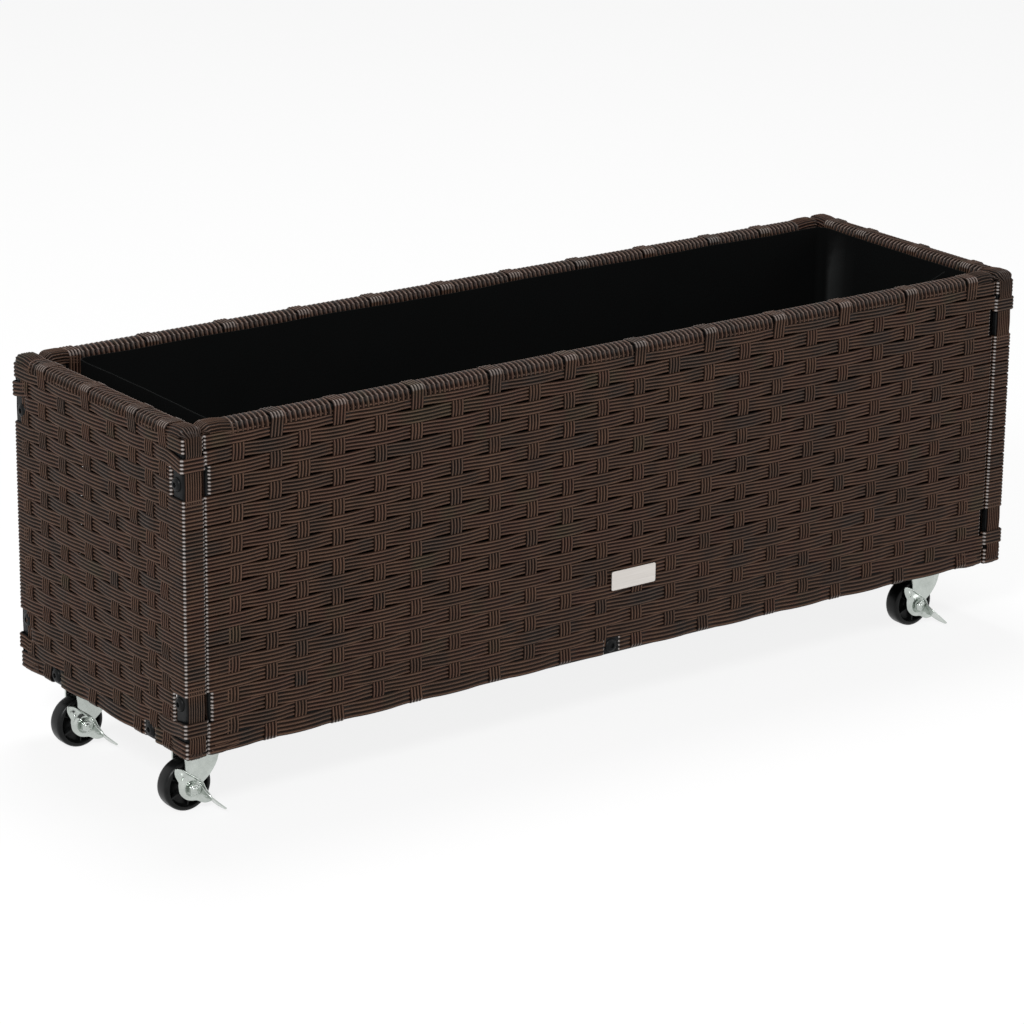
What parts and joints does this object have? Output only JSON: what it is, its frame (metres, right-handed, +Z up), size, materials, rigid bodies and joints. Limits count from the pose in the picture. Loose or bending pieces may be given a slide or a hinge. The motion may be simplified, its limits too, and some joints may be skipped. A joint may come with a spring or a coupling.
{
  "type": "rolling planter",
  "caption": "Long open planter box of woven panels on black tube frames, with a soft liner inside, standing on swivel casters with foot brakes.",
  "frame": {"origin": "on the floor, under the middle of the planter", "axes": "+X along the planter to the right as seen from the front, +Y to the back, +Z up; the badge faces -Y"},
  "size_m": [0.8006, 0.242, 0.306],
  "materials": {
    "weave": "brown ribbed synthetic wicker with a soft sheen",
    "black_steel": "black powder coat",
    "liner": "matt black non-woven cloth",
    "badge": "plain brushed plate",
    "zinc": "bright zinc plate",
    "caster_wheel": "glossy black"
  },
  "bodies": {
    "planter": {"front_frame": "black_steel", "front_weave": "weave", "front_foot_bolt": "black_steel", "badge": "badge", "back_frame": "black_steel", "back_weave": "weave", "back_foot_bolt": "black_steel", "left_frame": "black_steel", "left_weave": "weave", "left_lower_bolt_a": "black_steel", "left_lower_bolt_b": "black_steel", "left_upper_bolt_a": "black_steel", "left_upper_bolt_b": "black_steel", "left_foot_bolt_a": "black_steel", "left_foot_bolt_b": "black_steel", "right_frame": "black_steel", "right_weave": "weave", "right_lower_bolt_a": "black_steel", "right_lower_bolt_b": "black_steel", "right_upper_bolt_a": "black_steel", "right_upper_bolt_b": "black_steel", "right_foot_bolt_a": "black_steel", "right_foot_bolt_b": "black_steel", "base_frame": "black_steel", "liner": "liner", "front_left_stem": "zinc", "front_left_cup": "zinc", "front_right_stem": "zinc", "front_right_cup": "zinc", "back_left_stem": "zinc", "back_left_cup": "zinc", "back_right_stem": "zinc", "back_right_cup": "zinc"},
    "front_left_swivel": {"front_left_fork": "zinc", "front_left_axle": "zinc", "front_left_nut": "zinc"},
    "front_left_wheel": {"front_left_wheel": "caster_wheel"},
    "front_left_brake": {"front_left_brake": "zinc"},
    "front_right_swivel": {"front_right_fork": "zinc", "front_right_axle": "zinc", "front_right_nut": "zinc"},
    "front_right_wheel": {"front_right_wheel": "caster_wheel"},
    "front_right_brake": {"front_right_brake": "zinc"},
    "back_left_swivel": {"back_left_fork": "zinc", "back_left_axle": "zinc", "back_left_nut": "zinc"},
    "back_left_wheel": {"back_left_wheel": "caster_wheel"},
    "back_left_brake": {"back_left_brake": "zinc"},
    "back_right_swivel": {"back_right_fork": "zinc", "back_right_axle": "zinc", "back_right_nut": "zinc"},
    "back_right_wheel": {"back_right_wheel": "caster_wheel"},
    "back_right_brake": {"back_right_brake": "zinc"}
  },
  "joints": [
    {"name": "front_left_swivel_turn", "type": "hinge", "parent": "planter", "child": "front_left_swivel", "pos_m": [-0.357, -0.078, 0.047], "axis": [0, 0, 1], "continuous": true},
    {"name": "front_left_wheel_spin", "type": "hinge", "parent": "front_left_swivel", "child": "front_left_wheel", "pos_m": [-0.3765, -0.078, 0.02], "axis": [0, 1, 0], "continuous": true},
    {"name": "front_left_brake_lift", "type": "hinge", "parent": "front_left_swivel", "child": "front_left_brake", "pos_m": [-0.3765, -0.078, 0.02], "axis": [0, -1, 0], "range_deg": [0, 25]},
    {"name": "front_right_swivel_turn", "type": "hinge", "parent": "planter", "child": "front_right_swivel", "pos_m": [0.357, -0.078, 0.047], "axis": [0, 0, 1], "continuous": true},
    {"name": "front_right_wheel_spin", "type": "hinge", "parent": "front_right_swivel", "child": "front_right_wheel", "pos_m": [0.3375, -0.078, 0.02], "axis": [0, 1, 0], "continuous": true},
    {"name": "front_right_brake_lift", "type": "hinge", "parent": "front_right_swivel", "child": "front_right_brake", "pos_m": [0.3375, -0.078, 0.02], "axis": [0, -1, 0], "range_deg": [0, 25]},
    {"name": "back_left_swivel_turn", "type": "hinge", "parent": "planter", "child": "back_left_swivel", "pos_m": [-0.357, 0.078, 0.047], "axis": [0, 0, 1], "continuous": true},
    {"name": "back_left_wheel_spin", "type": "hinge", "parent": "back_left_swivel", "child": "back_left_wheel", "pos_m": [-0.3765, 0.078, 0.02], "axis": [0, 1, 0], "continuous": true},
    {"name": "back_left_brake_lift", "type": "hinge", "parent": "back_left_swivel", "child": "back_left_brake", "pos_m": [-0.3765, 0.078, 0.02], "axis": [0, -1, 0], "range_deg": [0, 25]},
    {"name": "back_right_swivel_turn", "type": "hinge", "parent": "planter", "child": "back_right_swivel", "pos_m": [0.357, 0.078, 0.047], "axis": [0, 0, 1], "continuous": true},
    {"name": "back_right_wheel_spin", "type": "hinge", "parent": "back_right_swivel", "child": "back_right_wheel", "pos_m": [0.3375, 0.078, 0.02], "axis": [0, 1, 0], "continuous": true},
    {"name": "back_right_brake_lift", "type": "hinge", "parent": "back_right_swivel", "child": "back_right_brake", "pos_m": [0.3375, 0.078, 0.02], "axis": [0, -1, 0], "range_deg": [0, 25]}
  ]
}
